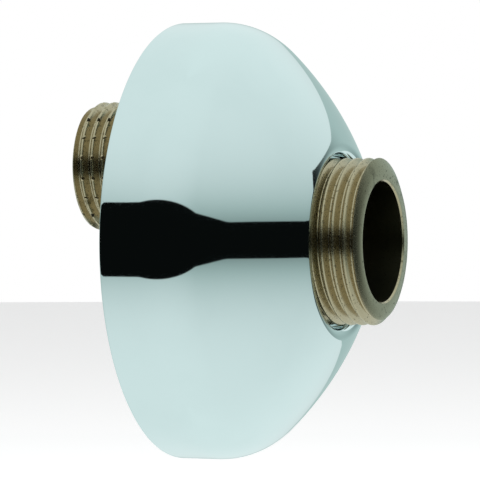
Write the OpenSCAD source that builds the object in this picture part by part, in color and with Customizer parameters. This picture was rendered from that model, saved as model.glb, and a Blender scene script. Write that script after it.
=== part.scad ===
// Eccentric tap union with a bell rosette.
// The wall end lies on the Y axis and enters the wall at the plane y = 0.
// The outlet points along -Y, one offset below the wall end.
// Each piece is drawn standing on its own axis, with Z running out of the wall,
// and mounted() then turns it into place.

/* [Union] */
// Offset between the axes of the wall end and the outlet
axis_offset = 12; // [9:0.5:15]
// Distance that the wall end reaches behind the rim of the rosette
wall_reach = 16; // [10:0.5:20]
// Length of the wall end, from its face to the web
wall_end_l = 20; // [16:0.5:25]
// Thickness of the web that joins the two ends
web_t = 10.3; // [8:0.1:14]
// Length of the outlet end, from the web to its face
outlet_end_l = 19; // [15:0.5:24]

/* [Wall end] */
// Diameter over the thread crests, half inch pipe thread
wall_thread_d = 20.955; // [18:0.005:24]
// Diameter of the end face
wall_face_d = 20.1; // [17:0.1:20.5]
// Length of the lead-in cone
wall_lead_l = 0.9; // [0.4:0.1:2]
// Bore
wall_bore_d = 15; // [10:0.5:15.5]

/* [Outlet end] */
// Diameter over the thread crests, three quarter inch pipe thread
outlet_thread_d = 26.441; // [24:0.001:31]
// Diameter of the sealing face
outlet_face_d = 23.1; // [22:0.1:24]
// Length of the lead-in cone
outlet_lead_l = 0.75; // [0.4:0.05:2]
// Bore
outlet_bore_d = 19.1; // [14:0.1:20]
// Width of the broken edge at the mouth of each bore
bore_break = 0.25; // [0.1:0.05:0.5]

/* [Web and necks] */
// Height of the web's shoulder above the thread crests
boss_h = 1.4; // [0.8:0.1:3]
// Radius of the web's cast edges
web_edge_r = 2; // [0.5:0.1:3]
// Depth of the run-out neck below the thread crests
neck_depth = 1.35; // [1.2:0.05:1.6]
// Width of the run-out neck
neck_w = 2; // [1:0.1:3]
// Depth of each bore's floor below the web's face
bore_sink = 0.5; // [0.2:0.1:1.5]
// Step from each bore down to the cast passage
passage_step = 0.3; // [0.2:0.05:0.8]

/* [Rosette] */
// Diameter of the rim
rosette_d = 70; // [62:1:90]
// Height from the rim to the crest of the lip
rosette_h = 26.7; // [22:0.1:33]
// Height of the straight skirt
skirt_h = 6.5; // [2:0.1:8]
// Outside radius of the shoulder above the skirt
shoulder_r = 11.6; // [6:0.1:14]
// Outside radius of the shallow crown between shoulder and lip
crown_r = 58; // [45:1:90]
// Inside radius of the rolled lip
lip_inner_r = 0.3; // [0.2:0.05:0.8]
// Sheet thickness
sheet_t = 1; // [0.6:0.05:1.3]
// Gap between the outlet's crests and the neck of the rosette
collar_gap = 0.58; // [0.56:0.01:0.9]
// Length of the neck below the roll of the lip
collar_l = 4; // [2:0.5:6]

/* [Hidden] */
$fn = 96;
overlap = 1;
passage_bite = 0.1;
web_sides = 48;
edge_steps = 4;
shoulder_steps = 12;
crown_steps = 8;
lip_steps = 10;

wall_r = wall_thread_d / 2;
outlet_r = outlet_thread_d / 2;
rear_z = -wall_reach;
web_back_z = rear_z + wall_end_l;
web_front_z = web_back_z + web_t;
front_z = web_front_z + outlet_end_l;
wall_passage_r = wall_bore_d / 2 - passage_step;
outlet_passage_r = outlet_bore_d / 2 - passage_step;

rim_r = rosette_d / 2;
collar_r = outlet_r + collar_gap;
lip_r = lip_inner_r + sheet_t;
// Centres of the shoulder and of the lip's roll, as radius and height
shoulder_c = [rim_r - shoulder_r, skirt_h];
lip_c = [collar_r + lip_r, rosette_h - lip_r];
// Both circles touch the crown's circle from within, so its centre closes a triangle on theirs
to_shoulder = crown_r - shoulder_r;
to_lip = crown_r - lip_r;
span = norm(lip_c - shoulder_c);
along = (lip_c - shoulder_c) / span;
foot = (to_shoulder ^ 2 - to_lip ^ 2 + span ^ 2) / (2 * span);
drop = sqrt(to_shoulder ^ 2 - foot ^ 2);
crown_c = shoulder_c + foot * along + drop * [-along[1], along[0]];
shoulder_end = direction(shoulder_c - crown_c);
crown_end = direction(lip_c - crown_c);

// Angle of a vector from the radius direction
function direction(v) = atan2(v[1], v[0]);

// Points along an arc about a centre, from the given step on
function arc_points(centre, r, from, to, steps, first = 0) = [
    for (i = [first:steps])
        let (a = from + (to - from) * i / steps)
        centre + r * [cos(a), sin(a)]
];

// One face of the rosette's sheet, from rim to lip, at a depth below the outside
function sheet_points(depth) = concat(
    [[rim_r - depth, 0]],
    arc_points(shoulder_c, shoulder_r - depth, 0, shoulder_end, shoulder_steps),
    arc_points(crown_c, crown_r - depth, shoulder_end, crown_end, crown_steps, 1),
    arc_points(lip_c, lip_r - depth, crown_end, 180, lip_steps, 1),
    [[collar_r + depth, lip_c[1] - collar_l]]
);

function reversed(points) = [for (i = [len(points) - 1:-1:0]) points[i]];

// Turns a piece drawn along Z so that Z points out of the wall
module mounted() {
    rotate([90, 0, 0]) children();
}

// A plain end at the crest diameter, with lead-in cone and run-out neck, face at z = 0
module threaded_end(r, face_r, lead_l, length) {
    neck_r = r - neck_depth;
    rotate_extrude()
        polygon([
            [0, 0],
            [face_r, 0],
            [r, lead_l],
            [r, length - neck_w],
            [neck_r, length - neck_w],
            [neck_r, length + overlap],
            [0, length + overlap]
        ]);
}

// A bore from the face at z = 0 inwards, with a broken edge at its mouth
module end_bore(r, depth) {
    rotate_extrude()
        polygon([
            [0, -overlap],
            [r + bore_break + overlap, -overlap],
            [r, bore_break],
            [r, depth],
            [0, depth]
        ]);
}

// A disc with rounded rims
module web_disc(r) {
    inner = r - web_edge_r;
    rotate_extrude($fn = web_sides)
        polygon(concat(
            [[0, 0]],
            arc_points([inner, web_edge_r], web_edge_r, -90, 0, edge_steps),
            arc_points([inner, web_t - web_edge_r], web_edge_r, 0, 90, edge_steps),
            [[0, web_t]]
        ));
}

// The cast web, drawn out between the two axes
module web() {
    hull() {
        translate([0, 0, web_back_z]) web_disc(wall_r + boss_h);
        translate([0, -axis_offset, web_back_z]) web_disc(outlet_r + boss_h);
    }
}

// The slanting passage between the floors of the two bores
module passage() {
    hull() {
        translate([0, 0, web_back_z + bore_sink - passage_bite])
            cylinder(r = wall_passage_r, h = passage_bite, $fn = web_sides);
        translate([0, -axis_offset, web_front_z - bore_sink])
            cylinder(r = outlet_passage_r, h = passage_bite, $fn = web_sides);
    }
}

// The one-piece brass union
module union_body() {
    color("darkkhaki")
    mounted()
    difference() {
        union() {
            translate([0, 0, rear_z])
                threaded_end(wall_r, wall_face_d / 2, wall_lead_l, wall_end_l);
            web();
            translate([0, -axis_offset, front_z]) mirror([0, 0, 1])
                threaded_end(outlet_r, outlet_face_d / 2, outlet_lead_l, outlet_end_l);
        }
        translate([0, 0, rear_z])
            end_bore(wall_bore_d / 2, wall_end_l + bore_sink);
        passage();
        translate([0, -axis_offset, front_z]) mirror([0, 0, 1])
            end_bore(outlet_bore_d / 2, outlet_end_l + bore_sink);
    }
}

// The chrome bell that slides along the outlet to cover the hole in the wall
module rosette() {
    color("lightblue")
    mounted()
    translate([0, -axis_offset, 0])
        rotate_extrude()
            polygon(concat(sheet_points(0), reversed(sheet_points(sheet_t))));
}

union_body();
rosette();
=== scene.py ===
"""Looks of an eccentric tap union and its bell rosette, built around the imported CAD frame."""

import logging
import math
from dataclasses import dataclass, field
from enum import Enum
from typing import Callable, Iterable, Sequence

import bmesh
import bpy
from mathutils import Matrix, Vector


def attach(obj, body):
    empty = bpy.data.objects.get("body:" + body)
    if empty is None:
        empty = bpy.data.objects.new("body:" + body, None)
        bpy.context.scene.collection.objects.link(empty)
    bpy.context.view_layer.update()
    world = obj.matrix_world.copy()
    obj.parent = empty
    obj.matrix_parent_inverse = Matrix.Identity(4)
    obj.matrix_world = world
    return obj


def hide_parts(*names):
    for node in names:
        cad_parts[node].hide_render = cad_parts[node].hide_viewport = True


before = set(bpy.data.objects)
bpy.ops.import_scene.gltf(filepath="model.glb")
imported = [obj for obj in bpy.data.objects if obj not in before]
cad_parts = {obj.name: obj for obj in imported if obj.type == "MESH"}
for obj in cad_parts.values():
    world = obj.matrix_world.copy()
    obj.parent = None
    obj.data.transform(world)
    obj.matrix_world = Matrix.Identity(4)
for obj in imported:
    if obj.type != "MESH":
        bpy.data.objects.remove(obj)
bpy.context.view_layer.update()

log = logging.getLogger("tap_union")

MM = 0.001
TURN = 2 * math.pi

Point = tuple[float, float, float]
Outline = list[tuple[float, float]]
Colour = tuple[float, float, float]


class Body(Enum):
    """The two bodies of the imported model."""

    UNION = "union"
    ROSETTE = "rosette"


class Slot(Enum):
    """The record's two material slots."""

    RAW_BRASS = "raw_brass"
    BRIGHT_CHROME = "bright_chrome"


class Join(Enum):
    """Ways in which one solid works on another."""

    ADD = "UNION"
    CUT = "DIFFERENCE"
    KEEP_COMMON = "INTERSECT"


class Area(Enum):
    """The differently worked areas of the union, as material slots of its mesh."""

    WALL_END = 0
    OUTLET_END = 1
    WEB = 2
    BORE = 3


# Mesh helpers


def mounted(x: float, y: float, z: float) -> Point:
    """Turns a point drawn along Z, in mm, so that Z points out of the wall, in metres."""
    return (x * MM, -z * MM, y * MM)


def arc(centre: tuple[float, float], r: float, start: float, end: float, steps: int) -> Outline:
    """Points along an arc.

    Args:
        centre: The arc's centre, as radius and height.
        r: The arc's radius.
        start: First angle in radians, from the radius direction.
        end: Last angle in radians.
        steps: Number of chords.

    Returns:
        The points from start to end, both included.
    """
    angles = (start + (end - start) * i / steps for i in range(steps + 1))
    return [(centre[0] + r * math.cos(a), centre[1] + r * math.sin(a)) for a in angles]


def mesh_object(name: str, points: Sequence[Point], faces: Iterable[Sequence[int]]) -> bpy.types.Object:
    """Makes an object from points and faces, with its normals pointing out.

    Args:
        name: The object's name.
        points: Corner points, in metres.
        faces: Corner numbers of each face.

    Returns:
        The new object, linked to the scene.
    """
    mesh = bpy.data.meshes.new(name)
    mesh.from_pydata(points, [], list(faces))
    work = bmesh.new()
    work.from_mesh(mesh)
    bmesh.ops.remove_doubles(work, verts=work.verts, dist=1e-7)
    bmesh.ops.recalc_face_normals(work, faces=work.faces)
    work.to_mesh(mesh)
    work.free()
    made = bpy.data.objects.new(name, mesh)
    bpy.context.scene.collection.objects.link(made)
    return made


def turned(name: str, outline: Outline, segments: int, axis_y: float = 0.0) -> bpy.types.Object:
    """Turns a closed outline about a line along Z, as on a lathe.

    Args:
        name: The object's name.
        outline: Corners of the cross-section as radius and height, in mm, closed by itself.
        segments: Number of steps round the axis.
        axis_y: Height of the axis above the wall end's axis, in mm.

    Returns:
        The turned solid, in place.
    """
    points, rows = [], []
    for r, z in outline:
        ring = 1 if r == 0 else segments
        rows.append((len(points), ring))
        for i in range(ring):
            a = TURN * i / segments
            points.append(mounted(r * math.cos(a), axis_y + r * math.sin(a), z))
    faces = []
    for (low, low_n), (high, high_n) in zip(rows, rows[1:] + rows[:1]):
        for i in range(segments):
            j = (i + 1) % segments
            corners = [low + i % low_n, low + j % low_n, high + j % high_n, high + i % high_n]
            unlike = list(dict.fromkeys(corners))
            if len(unlike) > 2:
                faces.append(unlike)
    return mesh_object(name, points, faces)


def combine(base: bpy.types.Object, tool: bpy.types.Object, how: Join) -> bpy.types.Object:
    """Lets one solid work on another and removes the tool.

    Args:
        base: The solid that is changed.
        tool: The solid that works on it.
        how: What the tool does.

    Returns:
        The changed base.
    """
    step = base.modifiers.new(how.name, "BOOLEAN")
    step.object = tool
    step.operation = how.value
    step.solver = "EXACT"
    bpy.context.view_layer.update()
    made = bpy.data.meshes.new_from_object(base.evaluated_get(bpy.context.evaluated_depsgraph_get()))
    base.modifiers.clear()
    old = base.data
    base.data = made
    bpy.data.meshes.remove(old)
    bpy.data.objects.remove(tool)
    return base


def smooth(thing: bpy.types.Object, crease: float) -> None:
    """Shades an object smoothly and keeps its creases.

    Args:
        thing: The object.
        crease: Angle in degrees above which an edge stays sharp.
    """
    work = bmesh.new()
    work.from_mesh(thing.data)
    bmesh.ops.dissolve_degenerate(work, edges=work.edges, dist=2e-7)
    bmesh.ops.remove_doubles(work, verts=work.verts, dist=1e-7)
    work.to_mesh(thing.data)
    work.free()
    thing.data.polygons.foreach_set("use_smooth", [True] * len(thing.data.polygons))
    thing.data.set_sharp_from_angle(angle=math.radians(crease))


# Node helpers


class Graph:
    """A node tree with short calls for adding and joining nodes."""

    def __init__(self, tree: bpy.types.NodeTree) -> None:
        """Keeps the tree that the nodes go into."""
        self.tree = tree

    def node(self, kind: str, **settings: object) -> bpy.types.Node:
        """Adds a node of the given kind and sets its properties."""
        made = self.tree.nodes.new(kind)
        for name, value in settings.items():
            setattr(made, name, value)
        return made

    def join(self, source: bpy.types.NodeSocket, target: bpy.types.NodeSocket) -> None:
        """Joins an output to an input."""
        self.tree.links.new(source, target)

    def feed(self, target: bpy.types.NodeSocket, value: object) -> None:
        """Joins a socket, or sets a plain value, on an input."""
        if isinstance(value, bpy.types.NodeSocket):
            self.join(value, target)
        else:
            target.default_value = value

    def math(self, how: str, *values: object, clamp: bool = False) -> bpy.types.NodeSocket:
        """Adds a Math node and returns its result."""
        made = self.node("ShaderNodeMath", operation=how, use_clamp=clamp)
        for target, value in zip(made.inputs, values):
            self.feed(target, value)
        return made.outputs[0]

    def ramp(self, value: object, low: float, high: float, out_low: float = 0.0, out_high: float = 1.0) -> bpy.types.NodeSocket:
        """Adds a smooth Map Range node and returns its result."""
        made = self.node("ShaderNodeMapRange", interpolation_type="SMOOTHSTEP")
        for name, item in (("Value", value), ("From Min", low), ("From Max", high), ("To Min", out_low), ("To Max", out_high)):
            self.feed(made.inputs[name], item)
        return made.outputs["Result"]

    def noise(self, place: bpy.types.NodeSocket, scale: float, detail: float = 2.0, rough: float = 0.5) -> bpy.types.NodeSocket:
        """Adds a Noise Texture in repeats per metre and returns its value."""
        made = self.node("ShaderNodeTexNoise")
        self.join(place, made.inputs["Vector"])
        made.inputs["Scale"].default_value = scale
        made.inputs["Detail"].default_value = detail
        made.inputs["Roughness"].default_value = rough
        return made.outputs["Fac"]

    def mix(self, share: object, first: object, second: object) -> bpy.types.NodeSocket:
        """Adds a colour Mix node and returns its result."""
        made = self.node("ShaderNodeMix", data_type="RGBA")
        for target, value in ((made.inputs[0], share), (made.inputs[6], first), (made.inputs[7], second)):
            self.feed(target, (*value, 1.0) if isinstance(value, tuple) and len(value) == 3 else value)
        return made.outputs[2]


class SharedGroup:
    """A shader node group with named inputs and outputs, built once and then placed with its own values."""

    name = "shared"
    inputs: dict[str, float] = {}
    outputs: tuple[str, ...] = ()

    def build(self, graph: Graph, values: bpy.types.Node, results: bpy.types.Node) -> None:
        """Fills the group with its nodes."""
        raise NotImplementedError

    def tree(self) -> bpy.types.NodeTree:
        """Returns the group's node tree, and makes it on first use."""
        found = bpy.data.node_groups.get(self.name)
        if found is not None:
            return found
        made = bpy.data.node_groups.new(self.name, "ShaderNodeTree")
        for name, value in self.inputs.items():
            socket = made.interface.new_socket(name, in_out="INPUT", socket_type="NodeSocketFloat")
            socket.default_value = value
        for name in self.outputs:
            made.interface.new_socket(name, in_out="OUTPUT", socket_type="NodeSocketFloat")
        graph = Graph(made)
        self.build(graph, graph.node("NodeGroupInput"), graph.node("NodeGroupOutput"))
        return made

    def place(self, graph: Graph, **values: float) -> bpy.types.Node:
        """Places the group in a material.

        Args:
            graph: The material's graph.
            values: Input values by name, with spaces written as underscores.

        Returns:
            The group node.
        """
        made = graph.node("ShaderNodeGroup", node_tree=self.tree())
        for name, value in values.items():
            made.inputs[name.replace("_", " ")].default_value = value
        return made


class TurningMarks(SharedGroup):
    """Fine rings left by a tool that cuts round an axis along Y."""

    name = "turning_marks"
    inputs = {"Axis Height": 0.0, "Rings Per Metre": 9000.0, "Chatter": 0.4}
    outputs = ("Height",)

    def build(self, graph: Graph, values: bpy.types.Node, results: bpy.types.Node) -> None:
        """Layers two noises that change along the radius and the axis, and hardly round it."""
        place = graph.node("ShaderNodeTexCoord").outputs["Object"]
        parts = graph.node("ShaderNodeSeparateXYZ")
        graph.join(place, parts.inputs[0])
        rise = graph.math("SUBTRACT", parts.outputs["Z"], values.outputs["Axis Height"])
        radius = graph.math("SQRT", graph.math("ADD", graph.math("POWER", parts.outputs["X"], 2.0), graph.math("POWER", rise, 2.0)))
        ring = graph.node("ShaderNodeCombineXYZ")
        graph.join(graph.math("MULTIPLY", radius, values.outputs["Rings Per Metre"]), ring.inputs["X"])
        graph.join(graph.math("MULTIPLY", parts.outputs["Y"], values.outputs["Rings Per Metre"]), ring.inputs["Y"])
        graph.join(graph.math("MULTIPLY", graph.math("ARCTAN2", rise, parts.outputs["X"]), 0.6), ring.inputs["Z"])
        fine = graph.noise(ring.outputs[0], 1.0, 1.0)
        coarse = graph.noise(ring.outputs[0], 0.23, 1.0)
        wave = graph.math("MULTIPLY", coarse, values.outputs["Chatter"])
        graph.join(graph.math("ADD", fine, wave), results.inputs["Height"])


class Tarnish(SharedGroup):
    """Cloudy patches and small spots where bare metal has darkened."""

    name = "tarnish"
    inputs = {"Patches Per Metre": 260.0, "Cover": 0.5, "Spots Per Metre": 2600.0}
    outputs = ("Patches", "Spots")

    def build(self, graph: Graph, values: bpy.types.Node, results: bpy.types.Node) -> None:
        """Cuts soft patches and hard spots out of two noises."""
        place = graph.node("ShaderNodeTexCoord").outputs["Object"]
        cloud = graph.node("ShaderNodeTexNoise")
        graph.join(place, cloud.inputs["Vector"])
        graph.join(values.outputs["Patches Per Metre"], cloud.inputs["Scale"])
        cloud.inputs["Detail"].default_value = 4.0
        cloud.inputs["Roughness"].default_value = 0.6
        low = graph.math("SUBTRACT", 0.82, graph.math("MULTIPLY", values.outputs["Cover"], 0.5))
        high = graph.math("ADD", low, 0.22)
        graph.join(graph.ramp(cloud.outputs["Fac"], low, high), results.inputs["Patches"])
        spots = graph.node("ShaderNodeTexNoise")
        graph.join(place, spots.inputs["Vector"])
        graph.join(values.outputs["Spots Per Metre"], spots.inputs["Scale"])
        spots.inputs["Detail"].default_value = 2.0
        graph.join(graph.ramp(spots.outputs["Fac"], 0.6, 0.7), results.inputs["Spots"])


class Scuffs(SharedGroup):
    """Hairline scuffs and a faint haze, as handling leaves on a polished surface."""

    name = "scuffs"
    inputs = {"Lines Per Metre": 1500.0, "Amount": 0.5}
    outputs = ("Lines", "Haze")

    def build(self, graph: Graph, values: bpy.types.Node, results: bpy.types.Node) -> None:
        """Stretches a noise into lines that only show in patches."""
        place = graph.node("ShaderNodeTexCoord").outputs["Object"]
        turn = graph.node("ShaderNodeMapping")
        graph.join(place, turn.inputs["Vector"])
        turn.inputs["Rotation"].default_value = (0.5, 0.9, 0.3)
        turn.inputs["Scale"].default_value = (1.0, 0.06, 1.0)
        lines = graph.node("ShaderNodeTexNoise")
        graph.join(turn.outputs[0], lines.inputs["Vector"])
        graph.join(values.outputs["Lines Per Metre"], lines.inputs["Scale"])
        haze = graph.noise(place, 70.0, 3.0, 0.6)
        patch = graph.math("MULTIPLY", graph.ramp(haze, 0.42, 0.72), values.outputs["Amount"])
        graph.join(graph.math("MULTIPLY", graph.ramp(lines.outputs["Fac"], 0.6, 0.66), patch), results.inputs["Lines"])
        graph.join(patch, results.inputs["Haze"])


# Finishes


@dataclass(frozen=True)
class ChromeFinish:
    """Bright chrome plating over polished sheet."""

    name: str = "bright_chrome"
    colour: Colour = (0.69, 0.775, 0.77)
    hazy_colour: Colour = (0.66, 0.75, 0.745)
    roughness: float = 0.035
    hazy_roughness: float = 0.075
    waviness: float = 0.02

    def material(self) -> bpy.types.Material:
        """Builds the plating's material."""
        made = bpy.data.materials.new(self.name)
        made.use_nodes = True
        graph = Graph(made.node_tree)
        shader = made.node_tree.nodes["Principled BSDF"]
        scuffs = Scuffs().place(graph, Lines_Per_Metre=1500.0, Amount=0.5)
        graph.join(graph.mix(scuffs.outputs["Haze"], self.colour, self.hazy_colour), shader.inputs["Base Color"])
        worn = graph.math("MAXIMUM", scuffs.outputs["Lines"], graph.math("MULTIPLY", scuffs.outputs["Haze"], 0.5))
        graph.join(graph.ramp(worn, 0.0, 1.0, self.roughness, self.hazy_roughness), shader.inputs["Roughness"])
        shader.inputs["Metallic"].default_value = 1.0
        place = graph.node("ShaderNodeTexCoord").outputs["Object"]
        wave = graph.node("ShaderNodeBump")
        wave.inputs["Strength"].default_value = self.waviness
        wave.inputs["Distance"].default_value = 0.4 * MM
        graph.join(graph.noise(place, 90.0, 1.0), wave.inputs["Height"])
        graph.join(wave.outputs["Normal"], shader.inputs["Normal"])
        return made


@dataclass(frozen=True)
class BrassFinish:
    """Bare machined brass with turning marks and tarnish."""

    name: str
    axis_height: float = 0.0
    colour: Colour = (0.46, 0.39, 0.255)
    dark_colour: Colour = (0.15, 0.13, 0.075)
    spot_colour: Colour = (0.10, 0.085, 0.05)
    roughness: float = 0.24
    dark_roughness: float = 0.42
    cover: float = 0.45
    rings: float = 9000.0
    mark_depth: float = 0.012 * MM
    mark_strength: float = 0.35

    def material(self) -> bpy.types.Material:
        """Builds the brass material."""
        made = bpy.data.materials.new(self.name)
        made.use_nodes = True
        graph = Graph(made.node_tree)
        shader = made.node_tree.nodes["Principled BSDF"]
        marks = TurningMarks().place(graph, Axis_Height=self.axis_height, Rings_Per_Metre=self.rings)
        tarnish = Tarnish().place(graph, Cover=self.cover)
        patchy = graph.mix(tarnish.outputs["Patches"], self.colour, self.dark_colour)
        spotted = graph.mix(graph.math("MULTIPLY", tarnish.outputs["Spots"], 0.6), patchy, self.spot_colour)
        graph.join(spotted, shader.inputs["Base Color"])
        dull = graph.math("MAXIMUM", tarnish.outputs["Patches"], tarnish.outputs["Spots"])
        graph.join(graph.ramp(dull, 0.0, 1.0, self.roughness, self.dark_roughness), shader.inputs["Roughness"])
        shader.inputs["Metallic"].default_value = 1.0
        relief = graph.node("ShaderNodeBump")
        relief.inputs["Strength"].default_value = self.mark_strength
        relief.inputs["Distance"].default_value = self.mark_depth
        pits = graph.math("MULTIPLY", tarnish.outputs["Spots"], -0.8)
        graph.join(graph.math("ADD", marks.outputs["Height"], pits), relief.inputs["Height"])
        graph.join(relief.outputs["Normal"], shader.inputs["Normal"])
        return made


@dataclass(frozen=True)
class CastBrassFinish:
    """Brass as it left the mould, with a fine grain and a dull skin."""

    name: str = "cast_brass"
    colour: Colour = (0.33, 0.27, 0.165)
    dark_colour: Colour = (0.13, 0.105, 0.06)
    roughness: float = 0.45
    dark_roughness: float = 0.62
    grain_depth: float = 0.09 * MM

    def material(self) -> bpy.types.Material:
        """Builds the cast skin's material."""
        made = bpy.data.materials.new(self.name)
        made.use_nodes = True
        graph = Graph(made.node_tree)
        shader = made.node_tree.nodes["Principled BSDF"]
        tarnish = Tarnish().place(graph, Cover=0.62, Patches_Per_Metre=180.0)
        graph.join(graph.mix(tarnish.outputs["Patches"], self.colour, self.dark_colour), shader.inputs["Base Color"])
        graph.join(graph.ramp(tarnish.outputs["Patches"], 0.0, 1.0, self.roughness, self.dark_roughness), shader.inputs["Roughness"])
        shader.inputs["Metallic"].default_value = 1.0
        place = graph.node("ShaderNodeTexCoord").outputs["Object"]
        grain = graph.math("ADD", graph.noise(place, 1900.0, 3.0, 0.6), graph.math("MULTIPLY", graph.noise(place, 420.0, 2.0), 1.5))
        relief = graph.node("ShaderNodeBump")
        relief.inputs["Strength"].default_value = 0.6
        relief.inputs["Distance"].default_value = self.grain_depth
        graph.join(grain, relief.inputs["Height"])
        graph.join(relief.outputs["Normal"], shader.inputs["Normal"])
        return made


# The object


@dataclass(frozen=True)
class PipeThread:
    """A right-handed parallel pipe thread with rounded crests and roots, in mm."""

    major_r: float
    crest_at: float
    pitch: float = 1.814
    depth: float = 1.162
    rounding: float = 0.249
    flank: float = math.radians(27.5)
    round_steps: int = 3
    segments: int = 144

    def profile(self) -> Outline:
        """One pitch of the thread as offset from the crest and radius, from crest to next crest."""
        crest_c = (0.0, self.major_r - self.rounding)
        root_c = (self.pitch / 2, self.major_r - self.depth + self.rounding)
        over = math.pi / 2 - self.flank
        half = []
        for i in range(self.round_steps + 1):
            a = over * i / self.round_steps
            half.append((crest_c[0] + self.rounding * math.sin(a), crest_c[1] + self.rounding * math.cos(a)))
        for i in range(self.round_steps, -1, -1):
            a = over * i / self.round_steps
            half.append((root_c[0] - self.rounding * math.sin(a), root_c[1] - self.rounding * math.cos(a)))
        back = [(self.pitch - x, r) for x, r in reversed(half)]
        return half + back[1:-1]

    def radius(self, phase: float) -> float:
        """The thread's radius at an offset along the axis from a crest."""
        x = phase % self.pitch
        line = self.profile() + [(self.pitch, self.major_r)]
        for (x0, r0), (x1, r1) in zip(line, line[1:]):
            if x <= x1:
                return r0 + (r1 - r0) * (x - x0) / (x1 - x0)
        return self.major_r

    def rod(self, name: str, low: float, high: float, axis_y: float) -> bpy.types.Object:
        """A solid rod with this thread.

        Args:
            name: The object's name.
            low: Height of its lower end, in mm.
            high: Height of its upper end, in mm.
            axis_y: Height of its axis above the wall end's axis, in mm.

        Returns:
            The rod, closed by flat ends.
        """
        profile = self.profile()
        per_turn = len(profile)
        start = math.floor((low - self.crest_at) / self.pitch) - 2
        turns = math.ceil((high - low) / self.pitch) + 4
        rows = per_turn * turns
        points: list[Point] = []
        for i in range(self.segments):
            angle = TURN * i / self.segments
            lead = self.crest_at + self.pitch * (angle - math.pi) / TURN
            for s in range(rows + 1):
                turn, k = divmod(s, per_turn)
                z = lead + (start + turn) * self.pitch + profile[k][0]
                r = profile[k][1]
                if not low < z < high:
                    z = min(max(z, low), high)
                    r = self.radius(z - lead)
                points.append(mounted(r * math.cos(angle), axis_y + r * math.sin(angle), z))
        faces: list[Sequence[int]] = []
        column = rows + 1
        for i in range(self.segments):
            here = i * column
            last = i == self.segments - 1
            there = 0 if last else here + column
            shift = per_turn if last else 0
            for s in range(rows - shift if last else rows):
                faces.append((here + s, here + s + 1, there + s + 1 - shift, there + s - shift) if not last else
                             (here + s, here + s + 1, there + s + 1 + shift, there + s + shift))
        thing = mesh_object(name, points, faces)
        return self.closed(thing)

    @staticmethod
    def closed(thing: bpy.types.Object) -> bpy.types.Object:
        """Closes the two open ends of a rod with flat faces."""
        work = bmesh.new()
        work.from_mesh(thing.data)
        bmesh.ops.delete(work, geom=[v for v in work.verts if not v.link_faces], context="VERTS")
        bmesh.ops.holes_fill(work, edges=[e for e in work.edges if e.is_boundary], sides=0)
        bmesh.ops.recalc_face_normals(work, faces=work.faces)
        work.to_mesh(thing.data)
        work.free()
        return thing


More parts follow.
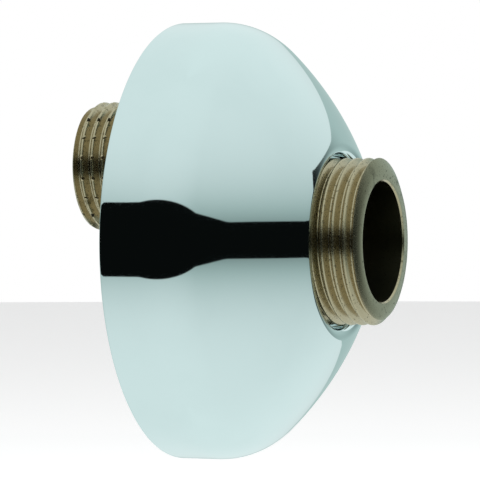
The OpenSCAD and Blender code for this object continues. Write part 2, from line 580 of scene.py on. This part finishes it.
@dataclass
class UnionBody:
    """The one-piece brass union: two threaded ends on offset axes, joined by a cast web."""

    offset: float = 12.0
    rear_z: float = -16.0
    wall_end: float = 20.0
    web_t: float = 10.3
    outlet_end: float = 19.0
    wall_thread: PipeThread = field(default_factory=lambda: PipeThread(10.4775, -14.3))
    wall_face_r: float = 10.05
    wall_lead: float = 0.9
    wall_bore_r: float = 7.5
    outlet_thread: PipeThread = field(default_factory=lambda: PipeThread(13.2205, 31.3))
    outlet_face_r: float = 11.55
    outlet_lead: float = 0.75
    outlet_bore_r: float = 9.55
    bore_break: float = 0.25
    boss: float = 1.4
    web_edge: float = 2.0
    neck_depth: float = 1.35
    neck_w: float = 2.0
    bore_sink: float = 0.5
    passage_step: float = 0.3
    notches: int = 19
    notch_at: float = math.radians(172.1)
    notch_depth: float = 0.45
    notch_half: float = 0.42

    @property
    def web_back(self) -> float:
        """Height of the web's face on the wall side."""
        return self.rear_z + self.wall_end

    @property
    def web_front(self) -> float:
        """Height of the web's face on the outlet side."""
        return self.web_back + self.web_t

    @property
    def front_z(self) -> float:
        """Height of the outlet's sealing face."""
        return self.web_front + self.outlet_end

    def end_envelope(self, name: str, r: float, face_r: float, lead: float, face_z: float, web_z: float, axis_y: float) -> bpy.types.Object:
        """The turned form that a threaded end is cut down to.

        Args:
            name: The object's name.
            r: Radius over the crests.
            face_r: Radius of the end face.
            lead: Length of the lead-in cone.
            face_z: Height of the end face.
            web_z: Height of the web's face at the other end.
            axis_y: Height of the axis above the wall end's axis.

        Returns:
            The solid form, which runs a little into the web.
        """
        way = 1.0 if web_z > face_z else -1.0
        neck_r = r - self.neck_depth
        neck_z = web_z - way * self.neck_w
        clear = 0.04
        slope = clear * lead / (r - face_r)
        outline = [
            (0.0, face_z),
            (face_r, face_z),
            (r + clear, face_z + way * (lead + slope)),
            (r + clear, neck_z - way * (self.neck_depth + clear) * 0.6),
            (neck_r, neck_z),
            (neck_r, web_z - way * 0.35),
            (neck_r + 0.1, web_z - way * 0.12),
            (neck_r + 0.35, web_z + way * 0.002),
            (neck_r + 0.35, web_z + way * 1.5),
            (0.0, web_z + way * 1.5),
        ]
        return turned(name, outline, self.outlet_thread.segments, axis_y)

    def threaded_end(self, thread: PipeThread, face_r: float, lead: float, face_z: float, web_z: float, axis_y: float) -> bpy.types.Object:
        """One threaded end, cut from a threaded rod.

        Args:
            thread: The end's thread.
            face_r: Radius of the end face.
            lead: Length of the lead-in cone.
            face_z: Height of the end face.
            web_z: Height of the web's face.
            axis_y: Height of the axis above the wall end's axis.

        Returns:
            The end, solid, with a stub that runs into the web.
        """
        low, high = min(face_z, web_z) - 2.1, max(face_z, web_z) + 2.1
        rod = thread.rod("threaded_rod", low, high, axis_y)
        form = self.end_envelope("end_form", thread.major_r, face_r, lead, face_z, web_z, axis_y)
        return combine(rod, form, Join.KEEP_COMMON)

    def web(self) -> bpy.types.Object:
        """The cast web: two discs with rounded rims, drawn out between the axes."""
        r_wall = self.wall_thread.major_r + self.boss
        r_outlet = self.outlet_thread.major_r + self.boss
        lean = math.asin((r_outlet - r_wall) / self.offset)
        steps, rim_steps = 64, 8
        around: list[tuple[float, float, float]] = []
        for i in range(steps + 1):
            a = -lean + (math.pi + 2 * lean) * i / steps
            around.append((0.0, r_wall, a))
        for i in range(steps + 1):
            a = math.pi + lean + (math.pi - 2 * lean) * i / steps
            around.append((-self.offset, r_outlet, a))
        rims = arc((0.0, self.web_edge), self.web_edge, -math.pi / 2, 0.0, rim_steps)
        rims += arc((0.0, self.web_t - self.web_edge), self.web_edge, 0.0, math.pi / 2, rim_steps)
        points = []
        for inward, z in rims:
            for cy, r, a in around:
                reach = r - self.web_edge + inward
                points.append(mounted(reach * math.cos(a), cy + reach * math.sin(a), self.web_back + z))
        n = len(around)
        faces: list[Sequence[int]] = []
        for row in range(len(rims) - 1):
            for i in range(n):
                j = (i + 1) % n
                faces.append((row * n + i, row * n + j, (row + 1) * n + j, (row + 1) * n + i))
        faces.append(tuple(range(n)))
        faces.append(tuple((len(rims) - 1) * n + i for i in range(n)))
        return mesh_object("web", points, faces)

    def bore_tool(self, r: float, face_z: float, floor_z: float, axis_y: float) -> bpy.types.Object:
        """The solid that cuts a bore with a broken edge at its mouth."""
        way = 1.0 if floor_z > face_z else -1.0
        lip = r + self.bore_break
        outline = [
            (0.0, face_z - way),
            (lip + 1.0, face_z - way),
            (r, face_z + way * self.bore_break),
            (r, floor_z - way * 0.3),
            (r - 0.3, floor_z),
            (0.0, floor_z),
        ]
        return turned("bore_tool", outline, 128, axis_y)

    def passage_tool(self) -> bpy.types.Object:
        """The solid that cuts the slanting waterway between the floors of the two bores."""
        n = 64
        points = []
        ends = (
            (self.wall_bore_r - self.passage_step, 0.0, self.web_back + self.bore_sink - 0.1),
            (self.outlet_bore_r - self.passage_step, -self.offset, self.web_front - self.bore_sink + 0.1),
        )
        for r, cy, z in ends:
            points += [mounted(r * math.cos(TURN * i / n), cy + r * math.sin(TURN * i / n), z) for i in range(n)]
        faces: list[Sequence[int]] = [(i, (i + 1) % n, n + (i + 1) % n, n + i) for i in range(n)]
        faces += [tuple(range(n)), tuple(range(n, 2 * n))]
        return mesh_object("passage_tool", points, faces)

    def notch_tools(self) -> bpy.types.Object:
        """The wedges that cut the grip notches across the wall thread's crests."""
        top = self.wall_thread.major_r + 0.5
        bottom = self.wall_thread.major_r - self.notch_depth
        widen = self.notch_half * (top - bottom) / self.notch_depth
        low, high = self.rear_z - 1.0, self.web_back - self.neck_w + 0.2
        points: list[Point] = []
        faces: list[Sequence[int]] = []
        for k in range(self.notches):
            a = self.notch_at + TURN * k / self.notches
            out, side = Vector((math.cos(a), math.sin(a))), Vector((-math.sin(a), math.cos(a)))
            corners = [out * bottom, out * top + side * widen, out * top - side * widen]
            base = len(points)
            points += [mounted(c.x, c.y, z) for z in (low, high) for c in corners]
            faces += [tuple(base + i for i in f) for f in ((0, 1, 2), (3, 5, 4), (0, 3, 4, 1), (1, 4, 5, 2), (2, 5, 3, 0))]
        return mesh_object("notch_tools", points, faces)

    def mesh(self) -> bpy.types.Object:
        """Builds the union's solid."""
        wall = self.threaded_end(self.wall_thread, self.wall_face_r, self.wall_lead, self.rear_z, self.web_back, 0.0)
        combine(wall, self.notch_tools(), Join.CUT)
        outlet = self.threaded_end(self.outlet_thread, self.outlet_face_r, self.outlet_lead, self.front_z, self.web_front, -self.offset)
        solid = combine(self.web(), wall, Join.ADD)
        combine(solid, outlet, Join.ADD)
        combine(solid, self.bore_tool(self.wall_bore_r, self.rear_z, self.web_back + self.bore_sink, 0.0), Join.CUT)
        combine(solid, self.bore_tool(self.outlet_bore_r, self.front_z, self.web_front - self.bore_sink, -self.offset), Join.CUT)
        combine(solid, self.passage_tool(), Join.CUT)
        smooth(solid, 38.0)
        solid.name = solid.data.name = "brass_union"
        return solid

    def dress(self, solid: bpy.types.Object) -> None:
        """Gives each worked area of the union its own finish."""
        outlet_axis = -self.offset * MM
        finishes = {
            Area.WALL_END: BrassFinish("wall_end_brass"),
            Area.OUTLET_END: BrassFinish("outlet_end_brass", axis_height=outlet_axis),
            Area.WEB: CastBrassFinish(),
            Area.BORE: BrassFinish("bore_brass", axis_height=outlet_axis, colour=(0.20, 0.19, 0.12), roughness=0.3, rings=5000.0),
        }
        solid.data.materials.clear()
        for area in Area:
            solid.data.materials.append(finishes[area].material())
        for face in solid.data.polygons:
            face.material_index = self.area_of(face.center).value

    def area_of(self, place: Vector) -> Area:
        """Tells which worked area a place on the union belongs to."""
        x, y, z = place.x / MM, place.z / MM, -place.y / MM
        from_wall_axis = math.hypot(x, y)
        from_outlet_axis = math.hypot(x, y + self.offset)
        if z < self.web_back + 0.01:
            return Area.BORE if from_wall_axis < self.wall_bore_r + 0.05 else Area.WALL_END
        if z > self.web_front - 0.01:
            return Area.BORE if from_outlet_axis < self.outlet_bore_r + 0.05 else Area.OUTLET_END
        return Area.WEB

    def build(self) -> bpy.types.Object:
        """Builds and dresses the union and puts it in the frame."""
        solid = self.mesh()
        self.dress(solid)
        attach(solid, Body.UNION.value)
        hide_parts("union_body")
        return solid


@dataclass
class Rosette:
    """The chrome bell that hides the hole in the wall, pressed from sheet with a rolled lip."""

    axis_y: float = -12.0
    rim_r: float = 35.0
    height: float = 26.7
    skirt: float = 6.5
    shoulder_r: float = 11.6
    crown_r: float = 58.0
    lip_inner_r: float = 0.3
    sheet: float = 1.0
    collar_r: float = 13.8005
    collar: float = 4.0
    rim_round: float = 0.18
    segments: int = 288

    def centres(self) -> tuple[tuple[float, float], tuple[float, float], tuple[float, float]]:
        """Centres of the shoulder's, crown's and lip's arcs, as radius and height."""
        lip_r = self.lip_inner_r + self.sheet
        shoulder = Vector((self.rim_r - self.shoulder_r, self.skirt))
        lip = Vector((self.collar_r + lip_r, self.height - lip_r))
        to_shoulder, to_lip = self.crown_r - self.shoulder_r, self.crown_r - lip_r
        span = (lip - shoulder).length
        along = (lip - shoulder) / span
        foot = (to_shoulder**2 - to_lip**2 + span**2) / (2 * span)
        drop = math.sqrt(to_shoulder**2 - foot**2)
        crown = shoulder + along * foot + Vector((-along.y, along.x)) * drop
        return tuple(shoulder), tuple(crown), tuple(lip)

    def face_line(self, depth: float) -> Outline:
        """One face of the sheet, from above the rim to the end of the neck, at a depth below the outside."""
        shoulder, crown, lip = self.centres()
        turn = math.atan2(shoulder[1] - crown[1], shoulder[0] - crown[0])
        end = math.atan2(lip[1] - crown[1], lip[0] - crown[0])
        lip_r = self.lip_inner_r + self.sheet
        line = [(self.rim_r - depth, z) for z in (0.6, 2.0, 4.0)]
        line += arc(shoulder, self.shoulder_r - depth, 0.0, turn, 28)
        line += arc(crown, self.crown_r - depth, turn, end, 24)[1:]
        line += arc(lip, lip_r - depth, end, math.pi, 28)[1:]
        line += [(self.collar_r + depth, lip[1] - self.collar * k / 4) for k in (1, 2, 3)]
        return line

    def outline(self) -> Outline:
        """The sheet's whole cross-section, with its cut edges broken."""
        soft = self.rim_round
        rim_c_out = (self.rim_r - soft, soft)
        rim_c_in = (self.rim_r - self.sheet + soft, soft)
        end_z = self.centres()[2][1] - self.collar
        end_c_out = (self.collar_r + soft, end_z + soft)
        end_c_in = (self.collar_r + self.sheet - soft, end_z + soft)
        line = self.face_line(0.0)
        line += arc(end_c_out, soft, math.pi, 1.5 * math.pi, 4) + arc(end_c_in, soft, 1.5 * math.pi, TURN, 4)
        line += list(reversed(self.face_line(self.sheet)))
        line += arc(rim_c_in, soft, math.pi, 1.5 * math.pi, 4) + arc(rim_c_out, soft, 1.5 * math.pi, TURN, 4)
        return line

    def build(self) -> bpy.types.Object:
        """Builds and dresses the rosette and puts it in the frame."""
        bell = turned("chrome_rosette", self.outline(), self.segments, self.axis_y)
        smooth(bell, 50.0)
        bell.data.materials.append(ChromeFinish().material())
        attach(bell, Body.ROSETTE.value)
        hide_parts("rosette")
        return bell


# The studio


@dataclass(frozen=True)
class Opening:
    """A straight-edged gap between the tent's upper and lower panels, in degrees round the object."""

    centre: float
    rise: float
    fall: float
    start: float
    end: float
    soft: float = 6.0

    def reach(self, azimuth: float, peak: float) -> float:
        """Angle from the horizon to the gap's edge, where peak is that angle at its centre."""
        away = (azimuth - self.centre + 180.0) % 360.0 - 180.0
        inside = min(away - self.start, self.end - away) / self.soft
        share = min(max(inside, 0.0), 1.0)
        share = share * share * (3 - 2 * share)
        if share == 0 or abs(away) >= 90:
            return 0.0
        return share * math.degrees(math.atan(math.tan(math.radians(peak)) * math.cos(math.radians(away))))


@dataclass
class LightTent:
    """Pale panels above and below the object, with the gap between them that its chrome mirrors."""

    centre: Point = (0.0, -0.01, -0.012)
    radius: float = 1.0
    slot: float = 7.6
    lower_slot: float = 6.7
    openings: tuple[Opening, ...] = (
        Opening(centre=184.0, rise=21.0, fall=17.9, start=-84.0, end=84.0),
        Opening(centre=315.0, rise=24.9, fall=22.6, start=-31.5, end=89.0, soft=18.0),
    )
    steps: int = 240
    rows: int = 30

    def edge(self, azimuth: float, upper: bool) -> float:
        """Angle above or below the horizon at which a panel begins."""
        least = self.slot if upper else self.lower_slot
        return max([least] + [o.reach(azimuth, o.rise if upper else o.fall) for o in self.openings])

    def place(self, azimuth: float, height: float, radius: float) -> Point:
        """A point in a direction from the object."""
        a, e = math.radians(azimuth), math.radians(height)
        c = self.centre
        return (
            c[0] + radius * math.cos(e) * math.cos(a),
            c[1] + radius * math.cos(e) * math.sin(a),
            c[2] + radius * math.sin(e),
        )

    def brightness(self, azimuth: float, height: float) -> float:
        """How bright a panel is, falling off towards its edge on the camera's side."""
        h = abs(height)
        front = 0.98 - 0.75 * math.exp(-max(h - 4.0, 0.0) / 14.5)
        back = 1.0 - 0.9 * math.exp(-max(h - 4.0, 0.0) / 7.0)
        away = abs((azimuth - 0.0 + 180.0) % 360.0 - 180.0)
        share = min(max((away - 10.0) / 60.0, 0.0), 1.0)
        share = share * share * (3 - 2 * share)
        return back + (front - back) * share

    def panel(self, name: str, upper: bool) -> bpy.types.Object:
        """One panel, as a shell from its edge to the zenith or nadir, with its brightness as an attribute."""
        points, shades, faces = [], [], []
        for i in range(self.steps):
            azimuth = 360.0 * i / self.steps
            edge = self.edge(azimuth, upper)
            for k in range(self.rows + 1):
                share = (k / self.rows) ** 1.4
                height = edge + (90.0 - edge) * share
                points.append(self.place(azimuth, height if upper else -height, self.radius))
                shades.append(self.brightness(azimuth, height))
        column = self.rows + 1
        for i in range(self.steps):
            here, there = i * column, (i + 1) % self.steps * column
            faces += [(here + k, here + k + 1, there + k + 1, there + k) for k in range(self.rows)]
        mesh = bpy.data.meshes.new(name)
        mesh.from_pydata(points, [], faces)
        mesh.attributes.new("brightness", "FLOAT", "POINT").data.foreach_set("value", shades)
        mesh.polygons.foreach_set("use_smooth", [True] * len(mesh.polygons))
        made = bpy.data.objects.new(name, mesh)
        bpy.context.scene.collection.objects.link(made)
        return made

    def surround(self) -> bpy.types.Object:
        """The room behind the gap: dark on the camera's side, a grey-green wall on the far side."""
        points, shades, faces = [], [], []
        rows = 16
        for i in range(self.steps):
            azimuth = 360.0 * i / self.steps
            for k in range(rows + 1):
                points.append(self.place(azimuth, -32.0 + 64.0 * k / rows, self.radius * 1.15))
                shades.append(self.wall_shade(azimuth))
        column = rows + 1
        for i in range(self.steps):
            here, there = i * column, (i + 1) % self.steps * column
            faces += [(here + k, here + k + 1, there + k + 1, there + k) for k in range(rows)]
        mesh = bpy.data.meshes.new("surround")
        mesh.from_pydata(points, [], faces)
        mesh.attributes.new("brightness", "FLOAT", "POINT").data.foreach_set("value", shades)
        made = bpy.data.objects.new("surround", mesh)
        bpy.context.scene.collection.objects.link(made)
        return made

    @staticmethod
    def wall_shade(azimuth: float) -> float:
        """How bright the room is behind the gap."""
        away = (azimuth - 30.0 + 180.0) % 360.0 - 180.0
        near = min(max((abs(away) - 40.0) / 55.0, 0.0), 1.0)
        near = near * near * (3 - 2 * near)
        return 0.004 + 0.6 * (1 - near)

    @staticmethod
    def cloth(name: str, bright: Colour, shaded: Colour) -> bpy.types.Material:
        """A lit cloth whose tint and strength follow its brightness."""
        made = bpy.data.materials.new(name)
        made.use_nodes = True
        made.node_tree.nodes.clear()
        graph = Graph(made.node_tree)
        shade = graph.node("ShaderNodeAttribute", attribute_name="brightness").outputs["Fac"]
        glow = graph.node("ShaderNodeEmission")
        graph.join(graph.mix(graph.ramp(shade, 0.35, 0.95), shaded, bright), glow.inputs["Color"])
        graph.join(shade, glow.inputs["Strength"])
        graph.join(glow.outputs[0], graph.node("ShaderNodeOutputMaterial").inputs["Surface"])
        return made

    def build(self) -> None:
        """Builds the tent, which only shows in reflections."""
        panel_cloth = self.cloth("panel_cloth", (0.885, 1.0, 1.0), (0.77, 1.0, 0.97))
        wall_cloth = self.cloth("wall_cloth", (0.77, 1.0, 0.97), (0.77, 1.0, 0.97))
        parts = [self.panel("upper_panel", True), self.panel("lower_panel", False), self.surround()]
        for part, cloth in zip(parts, (panel_cloth, panel_cloth, wall_cloth)):
            part.data.materials.append(cloth)
            part.visible_camera = part.visible_diffuse = part.visible_shadow = False


@dataclass
class Studio:
    """Plain floor, soft lamp and white world."""

    floor_z: float = -0.13
    floor_r: float = 3.0
    lamp_height: float = 1.1
    lamp_size: float = 1.2
    lamp_power: float = 16.0
    world_light: float = 0.35

    def floor(self) -> bpy.types.Object:
        """A pale floor that keeps the object's shadow."""
        points = [(self.floor_r * math.cos(TURN * i / 96), self.floor_r * math.sin(TURN * i / 96), self.floor_z) for i in range(96)]
        made = mesh_object("floor", points, [tuple(range(96))])
        material = bpy.data.materials.new("pale_floor")
        material.use_nodes = True
        graph = Graph(material.node_tree)
        shader = material.node_tree.nodes["Principled BSDF"]
        shader.inputs["Base Color"].default_value = (0.86, 0.87, 0.87, 1.0)
        shader.inputs["Roughness"].default_value = 0.9
        shader.inputs["Specular IOR Level"].default_value = 0.1
        shader.inputs["Emission Color"].default_value = (1.0, 1.0, 1.0, 1.0)
        seen = graph.node("ShaderNodeLightPath").outputs["Is Camera Ray"]
        graph.join(graph.math("MULTIPLY", seen, 0.45), shader.inputs["Emission Strength"])
        made.data.materials.append(material)
        made.visible_glossy = False
        return made

    def world(self) -> None:
        """White for what the camera and reflections see, softer for the light it gives."""
        made = bpy.data.worlds.new("studio")
        bpy.context.scene.world = made
        made.use_nodes = True
        graph = Graph(made.node_tree)
        path = graph.node("ShaderNodeLightPath")
        seen = graph.math("MAXIMUM", path.outputs["Is Camera Ray"], graph.math("MAXIMUM", path.outputs["Is Glossy Ray"], path.outputs["Is Transmission Ray"]))
        sky = made.node_tree.nodes["Background"]
        sky.inputs["Color"].default_value = (1.0, 1.0, 1.0, 1.0)
        graph.join(graph.ramp(seen, 0.0, 1.0, self.world_light, 1.0), sky.inputs["Strength"])

    def lamp(self) -> bpy.types.Object:
        """One large soft lamp above the object."""
        light = bpy.data.lights.new("overhead_lamp", "AREA")
        light.shape = "DISK"
        light.size = self.lamp_size
        light.energy = self.lamp_power
        made = bpy.data.objects.new("overhead_lamp", light)
        made.location = (-0.25, -0.25, self.lamp_height)
        made.rotation_euler = (Vector((0.0, -0.01, -0.01)) - made.location).to_track_quat("-Z", "Y").to_euler()
        made.visible_glossy = False
        bpy.context.scene.collection.objects.link(made)
        return made

    def build(self) -> None:
        """Builds the studio."""
        self.floor()
        self.world()
        self.lamp()


@dataclass(frozen=True)
class Viewpoint:
    """The photograph's camera, found by fitting it to the outlines of the rim, face and threads."""

    tilt: float = math.radians(0.98)
    pan: float = math.radians(-22.06)
    roll: float = math.radians(0.11)
    aim: Point = (0.0, 12.0, 0.0)
    shift: Point = (-8.221, -0.107, -523.885)
    focal_px: float = 3246.936
    frame_px: float = 480.0
    sensor: float = 36.0

    def build(self) -> bpy.types.Object:
        """Makes the camera and hands it to the scene."""
        data = bpy.data.cameras.new("photo_camera")
        data.sensor_width = self.sensor
        data.lens = self.focal_px / self.frame_px * self.sensor
        data.clip_start, data.clip_end = 0.01, 20.0
        turn = (
            Matrix.Rotation(self.roll, 3, "Z")
            @ Matrix.Rotation(self.tilt, 3, "X")
            @ Matrix.Rotation(self.pan, 3, "Y")
        )
        axes = Matrix(((0.0, -1.0, 0.0), (0.0, 0.0, 1.0), (-1.0, 0.0, 0.0)))
        back = (turn @ axes).transposed()
        place = back @ (turn @ Vector(self.aim) + Vector(self.shift)) * -MM
        made = bpy.data.objects.new("photo_camera", data)
        bpy.context.scene.collection.objects.link(made)
        made.matrix_world = Matrix.Translation(place) @ back.to_4x4()
        bpy.context.scene.camera = made
        return made


def report(thing: bpy.types.Object) -> None:
    """Logs a piece's name and size."""
    log.info("%s: %d faces", thing.name, len(thing.data.polygons))


def main() -> None:
    """Builds the camera, the two pieces and the studio in order."""
    logging.basicConfig(level=logging.INFO, format="%(name)s: %(message)s")
    Viewpoint().build()
    builders: tuple[Callable[[], bpy.types.Object], ...] = (UnionBody().build, Rosette().build)
    for build in builders:
        report(build())
    Studio().build()
    LightTent().build()
    bpy.context.scene.view_settings.view_transform = "Standard"


if __name__ == "__main__":
    main()
